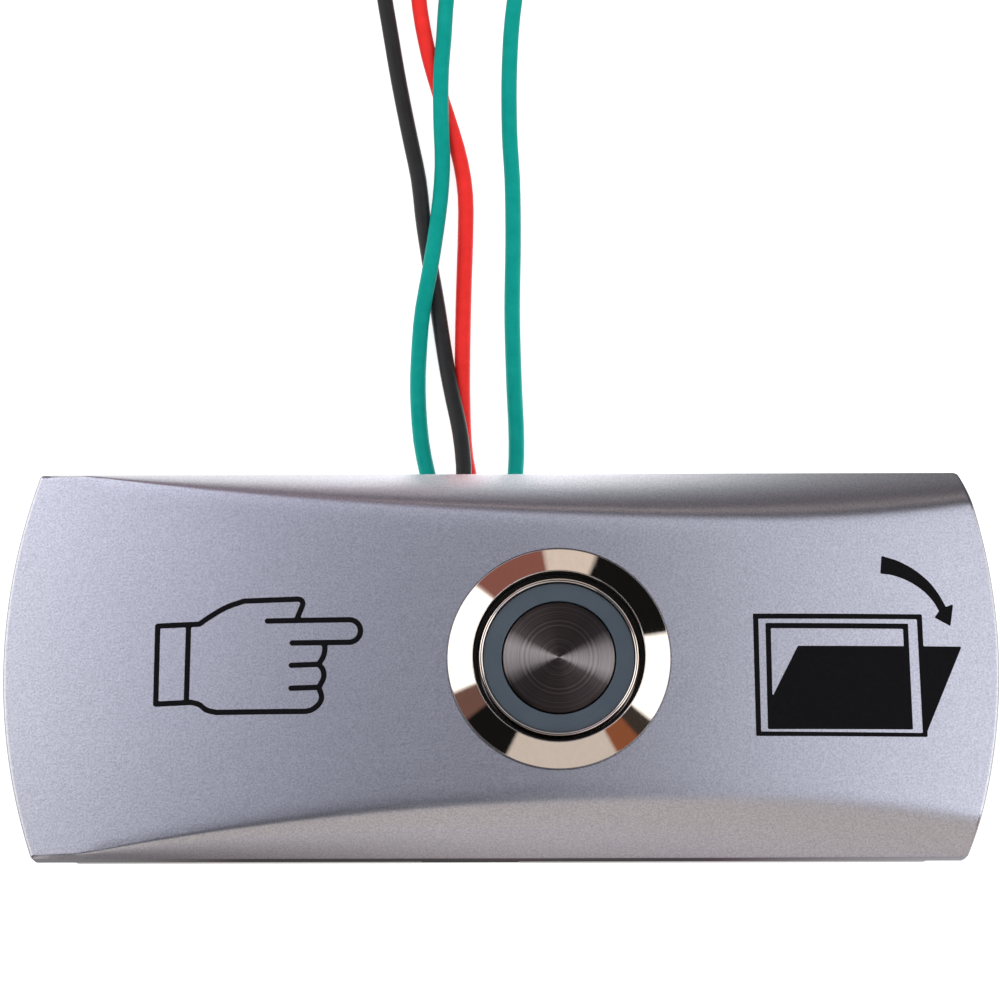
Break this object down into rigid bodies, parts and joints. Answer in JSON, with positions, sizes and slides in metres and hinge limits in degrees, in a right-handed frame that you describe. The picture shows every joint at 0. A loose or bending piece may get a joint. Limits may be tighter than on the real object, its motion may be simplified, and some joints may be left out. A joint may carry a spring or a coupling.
{
  "type": "door exit push button",
  "caption": "Surface-mount door exit button: crowned satin metal faceplate on a shallow box, ring-lit spring-return metal push switch, short wire leads.",
  "frame": {"origin": "middle of the back of the box, below the middle of the faceplate; the free leads and their bare ends are left out", "axes": "+Z out of the front, the way a finger comes from; +X along the length towards the end where the face stays high; +Y towards the long side where the leads come out"},
  "size_m": [0.0816, 0.1047, 0.025],
  "materials": {
    "satin_zinc": "satin plated and finely brushed zinc alloy",
    "chrome": "polished chrome",
    "spun_steel": "spun, with fine circular tool marks",
    "steel": "bright plated",
    "nickel": "nickel plated",
    "brass": "rolled",
    "tinned_copper": "dull tinned strands",
    "light_guide": "milky translucent",
    "black_plastic": "fine moulded texture",
    "natural_plastic": "moulded nylon",
    "circuit_board": "solder mask",
    "led_chip": "clear moulded chip",
    "black_rubber": "matt",
    "lead_black": "smooth PVC",
    "lead_red": "smooth PVC",
    "lead_green": "smooth PVC"
  },
  "bodies": {
    "housing": {"faceplate": "satin_zinc", "back_box": "satin_zinc", "cover_screw_left": "steel", "cover_screw_right": "steel", "switch_body": "chrome", "flange_o_ring": "black_rubber", "fixing_nut": "nickel", "contact_carrier": "natural_plastic", "terminal_base": "black_plastic", "fixed_contact_left": "brass", "fixed_contact_right": "brass", "led_pin_plus": "nickel", "led_pin_minus": "nickel", "led_board": "circuit_board", "led_1": "led_chip", "led_2": "led_chip", "led_3": "led_chip", "led_4": "led_chip", "return_spring": "steel", "heat_shrink_green_left": "black_plastic", "inner_lead_green_left": "lead_green", "lead_green_left": "lead_green", "lead_end_green_left": "tinned_copper", "heat_shrink_black": "black_plastic", "inner_lead_black": "lead_black", "lead_black": "lead_black", "lead_end_black": "tinned_copper", "heat_shrink_red": "black_plastic", "inner_lead_red": "lead_red", "lead_red": "lead_red", "lead_end_red": "tinned_copper", "heat_shrink_green_right": "black_plastic", "inner_lead_green_right": "lead_green", "lead_green_right": "lead_green", "lead_end_green_right": "tinned_copper"},
    "button": {"actuator_sleeve": "chrome", "light_ring": "light_guide", "centre_cap": "spun_steel", "plunger": "black_plastic", "contact_bridge": "brass"}
  },
  "joints": [
    {"name": "button_press", "type": "slide", "parent": "housing", "child": "button", "axis": [0, 0, -1], "range_m": [0, 0.0015], "stiffness_N_per_m": 1000, "springref_m": -0.002, "deforming": ["return_spring"]}
  ]
}
